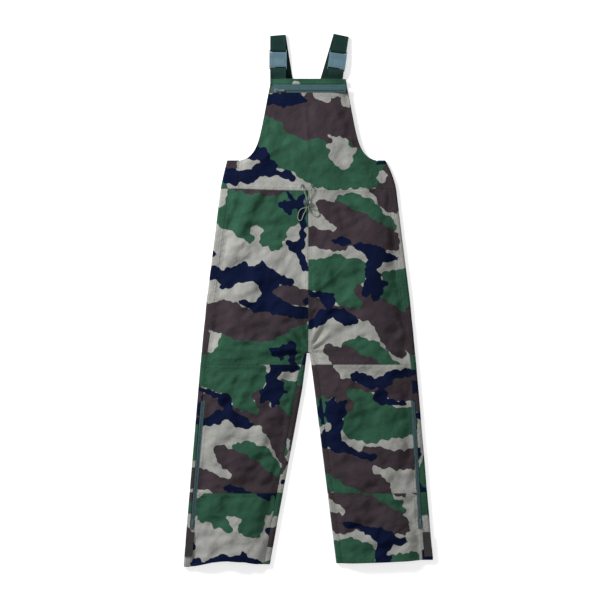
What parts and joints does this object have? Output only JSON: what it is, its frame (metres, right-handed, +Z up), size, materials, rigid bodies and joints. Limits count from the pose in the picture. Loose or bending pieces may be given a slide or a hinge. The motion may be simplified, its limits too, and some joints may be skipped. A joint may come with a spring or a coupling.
{
  "type": "bib-and-brace overtrousers",
  "caption": "Bib-and-brace overtrousers in camouflage print, laid flat: zipped bib pocket, buckled webbing braces, waist drawcord with lock, side leg zips and hem tabs.",
  "frame": {"origin": "middle of the base, on the floor that the garment lies on", "axes": "+X across the garment to the right as seen from the front, +Y from the hems to the shoulder straps, +Z up from the floor through the front layer"},
  "size_m": [0.716, 1.5176, 0.0314],
  "materials": {
    "printed_cloth": "woodland camouflage print on coated twill, matt",
    "pocket_lining": "dark green taffeta lining",
    "webbing": "dark green woven webbing",
    "zip_tape": "teal woven zip tape with moulded coil",
    "zip_metal": "satin die-cast metal",
    "buckle": "grey-blue moulded plastic, satin",
    "cord": "braided grey-green cord",
    "cord_lock": "moulded plastic, satin",
    "eyelet": "painted pressed metal",
    "spring": "spring wire",
    "hook_tape": "dark hook-and-loop tape"
  },
  "bodies": {
    "root": {"bib_front": "printed_cloth", "bib_top_band": "printed_cloth", "bib_lining": "pocket_lining", "back_yoke": "printed_cloth", "waist_channel": "printed_cloth", "strap_patch": "printed_cloth", "bib_zip_tape_upper": "zip_tape", "bib_zip_tape_lower": "zip_tape", "drawcord": "cord", "eyelet_left": "eyelet", "eyelet_right": "eyelet", "thigh_front_left": "printed_cloth", "knee_front_left": "printed_cloth", "shin_front_left": "printed_cloth", "seat_back_left": "printed_cloth", "leg_back_left": "printed_cloth", "side_panel_left": "printed_cloth", "leg_zip_left_tape_upper": "zip_tape", "leg_zip_left_tape_lower": "zip_tape", "leg_zip_guard_left": "pocket_lining", "strap_front_left": "webbing", "strap_lower_left": "webbing", "buckle_female_left": "buckle", "hem_loop_patch_left": "hook_tape", "thigh_front_right": "printed_cloth", "knee_front_right": "printed_cloth", "shin_front_right": "printed_cloth", "seat_back_right": "printed_cloth", "leg_back_right": "printed_cloth", "side_panel_right": "printed_cloth", "leg_zip_right_tape_upper": "zip_tape", "leg_zip_right_tape_lower": "zip_tape", "leg_zip_guard_right": "pocket_lining", "strap_front_right": "webbing", "strap_lower_right": "webbing", "buckle_female_right": "buckle", "hem_loop_patch_right": "hook_tape"},
    "bib_slider": {"bib_zip_slider": "zip_metal"},
    "bib_pull": {"bib_zip_pull": "zip_metal"},
    "leg_slider_left": {"leg_zip_left_slider": "zip_metal"},
    "leg_pull_left": {"leg_zip_left_pull": "zip_metal"},
    "leg_slider_right": {"leg_zip_right_slider": "zip_metal"},
    "leg_pull_right": {"leg_zip_right_pull": "zip_metal"},
    "shoulder_strap_left": {"buckle_male_left": "buckle", "strap_upper_left": "webbing"},
    "buckle_arm_left_a": {"buckle_arm_left_left": "buckle"},
    "buckle_arm_left_b": {"buckle_arm_left_right": "buckle"},
    "shoulder_strap_right": {"buckle_male_right": "buckle", "strap_upper_right": "webbing"},
    "buckle_arm_right_a": {"buckle_arm_right_left": "buckle"},
    "buckle_arm_right_b": {"buckle_arm_right_right": "buckle"},
    "cord_lock": {"cord_lock_body": "cord_lock", "cord_lock_spring": "spring"},
    "cord_lock_button": {"cord_lock_plunger": "cord_lock"},
    "hem_tab_left": {"hem_tab_left": "hook_tape"},
    "hem_tab_right": {"hem_tab_right": "hook_tape"}
  },
  "joints": [
    {"name": "bib_zip_slide", "type": "slide", "parent": "root", "child": "bib_slider", "axis": [1, 0, 0], "range_m": [0, 0.185]},
    {"name": "bib_pull_swing", "type": "hinge", "parent": "bib_slider", "child": "bib_pull", "pos_m": [-0.0922, 0.59315, 0.0223], "axis": [0, -1, 0], "range_deg": [0, 165]},
    {"name": "leg_zip_slide_left", "type": "slide", "parent": "root", "child": "leg_slider_left", "axis": [0.0842, 0.9964, 0], "range_m": [0, 0.355]},
    {"name": "leg_pull_swing_left", "type": "hinge", "parent": "leg_slider_left", "child": "leg_pull_left", "pos_m": [-0.33331, -0.65607, 0.0143], "axis": [0.9964, -0.0842, 0], "range_deg": [0, 165]},
    {"name": "leg_zip_slide_right", "type": "slide", "parent": "root", "child": "leg_slider_right", "axis": [-0.058, 0.9983, 0], "range_m": [0, 0.355]},
    {"name": "leg_pull_swing_right", "type": "hinge", "parent": "leg_slider_right", "child": "leg_pull_right", "pos_m": [0.32103, -0.65606, 0.0143], "axis": [0.9983, 0.058, 0], "range_deg": [0, 165]},
    {"name": "buckle_release_left", "type": "slide", "parent": "root", "child": "shoulder_strap_left", "axis": [0, 1, 0], "range_m": [0, 0.035], "deforming": ["buckle_arm_left_left", "buckle_arm_left_right"]},
    {"name": "buckle_squeeze_left", "type": "hinge", "parent": "shoulder_strap_left", "child": "buckle_arm_left_a", "pos_m": [-0.1005, 0.69115, 0.0079], "axis": [0, 0, 1], "range_deg": [0, 12], "stiffness_Nm_per_rad": 0.05},
    {"name": "buckle_squeeze_left_other", "type": "hinge", "parent": "shoulder_strap_left", "child": "buckle_arm_left_b", "pos_m": [-0.0735, 0.69115, 0.0079], "axis": [0, 0, 1], "range_deg": [-12, 0], "stiffness_Nm_per_rad": 0.05},
    {"name": "buckle_release_right", "type": "slide", "parent": "root", "child": "shoulder_strap_right", "axis": [0.1392, 0.9903, 0], "range_m": [0, 0.035], "deforming": ["buckle_arm_right_left", "buckle_arm_right_right"]},
    {"name": "buckle_squeeze_right", "type": "hinge", "parent": "shoulder_strap_right", "child": "buckle_arm_right_a", "pos_m": [0.07075, 0.68995, 0.0079], "axis": [0, 0, 1], "range_deg": [0, 12], "stiffness_Nm_per_rad": 0.05},
    {"name": "buckle_squeeze_right_other", "type": "hinge", "parent": "shoulder_strap_right", "child": "buckle_arm_right_b", "pos_m": [0.09748, 0.68619, 0.0079], "axis": [0, 0, 1], "range_deg": [-12, 0], "stiffness_Nm_per_rad": 0.05},
    {"name": "cord_lock_slide", "type": "slide", "parent": "root", "child": "cord_lock", "axis": [0, 1, 0], "range_m": [0, 0.02], "deforming": ["drawcord"]},
    {"name": "cord_lock_press", "type": "slide", "parent": "cord_lock", "child": "cord_lock_button", "axis": [-1, 0, 0], "range_m": [0, 0.002], "stiffness_N_per_m": 300, "deforming": ["cord_lock_spring"]},
    {"name": "hem_tab_peel_left", "type": "hinge", "parent": "root", "child": "hem_tab_left", "pos_m": [-0.35152, -0.70585, 0.0134], "axis": [-0.0843, -0.9964, 0], "range_deg": [0, 140]},
    {"name": "hem_tab_peel_right", "type": "hinge", "parent": "root", "child": "hem_tab_right", "pos_m": [0.35152, -0.70585, 0.0134], "axis": [-0.0843, 0.9964, 0], "range_deg": [0, 140]}
  ],
  "couplings": [
    {"joint": "buckle_squeeze_left_other", "follows": "buckle_squeeze_left", "ratio": -1},
    {"joint": "buckle_squeeze_right_other", "follows": "buckle_squeeze_right", "ratio": -1}
  ]
}
